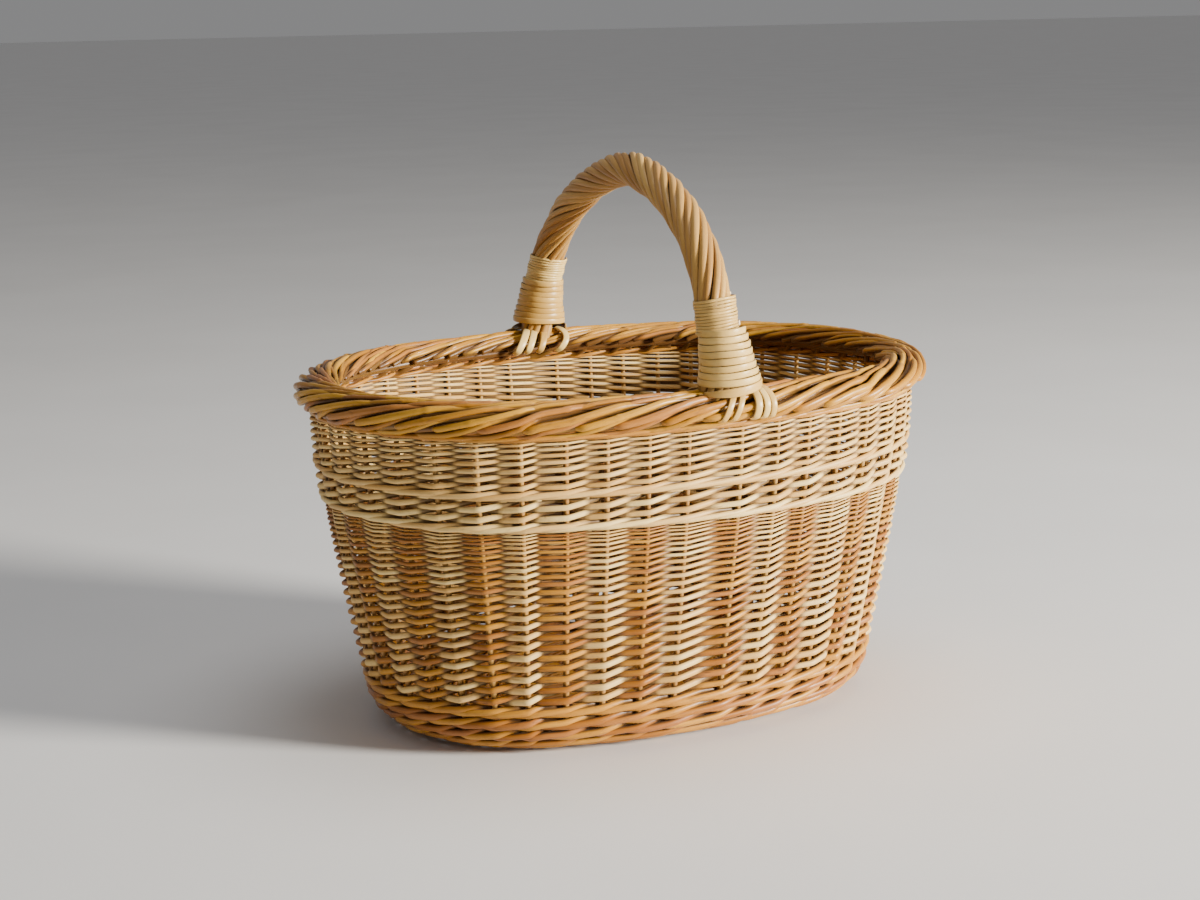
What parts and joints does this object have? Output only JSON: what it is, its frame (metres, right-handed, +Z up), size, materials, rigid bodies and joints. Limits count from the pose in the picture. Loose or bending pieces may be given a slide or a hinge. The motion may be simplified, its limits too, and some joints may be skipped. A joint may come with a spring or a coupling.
{
  "type": "willow hand basket",
  "caption": "Oval woven willow basket, flared, with a rolled rim and a fixed roped bow handle across the middle, used to hold sewing things.",
  "frame": {"origin": "middle of the underside of the base, on the floor", "axes": "+X along the length of the oval, +Y across it from the front foot of the bow to the back foot, +Z up"},
  "size_m": [0.4584, 0.3506, 0.3922],
  "materials": {
    "white_willow": "peeled white willow, smooth with a soft sheen",
    "buff_willow": "boiled buff willow, golden to orange brown, some rods pinkish",
    "border_willow": "thick buff willow, honey amber, glossier than the weave",
    "handle_willow": "pale tan peeled rods, satin",
    "binding_willow": "split skein, pale cream, satin"
  },
  "bodies": {
    "root": {"stripe_white": "white_willow", "low_wale": "white_willow", "plain_odd": "white_willow", "plain_even": "white_willow", "high_wale": "white_willow", "top_odd": "white_willow", "top_even": "white_willow", "cross_sticks": "buff_willow", "long_sticks": "buff_willow", "base_under": "buff_willow", "base_over": "buff_willow", "stakes_odd": "buff_willow", "stakes_even": "buff_willow", "foot_wale_1": "buff_willow", "foot_wale_2": "buff_willow", "foot_wale_3": "buff_willow", "foot_wale_4": "buff_willow", "foot_wale_5": "buff_willow", "foot_wale_inside": "buff_willow", "stripe_buff": "buff_willow", "rim_wale_1": "buff_willow", "rim_wale_2": "buff_willow", "border_core": "border_willow", "border_rods_odd": "border_willow", "border_rods_even": "border_willow", "border_follow": "border_willow", "bow_rod": "handle_willow", "rope_rods_odd": "handle_willow", "rope_rods_even": "handle_willow", "low_binding_front": "binding_willow", "low_binding_back": "binding_willow", "high_binding_front": "binding_willow", "high_binding_back": "binding_willow", "tails_out_front": "binding_willow", "tails_out_back": "binding_willow", "tails_in_front": "binding_willow", "tails_in_back": "binding_willow"}
  },
  "joints": []
}
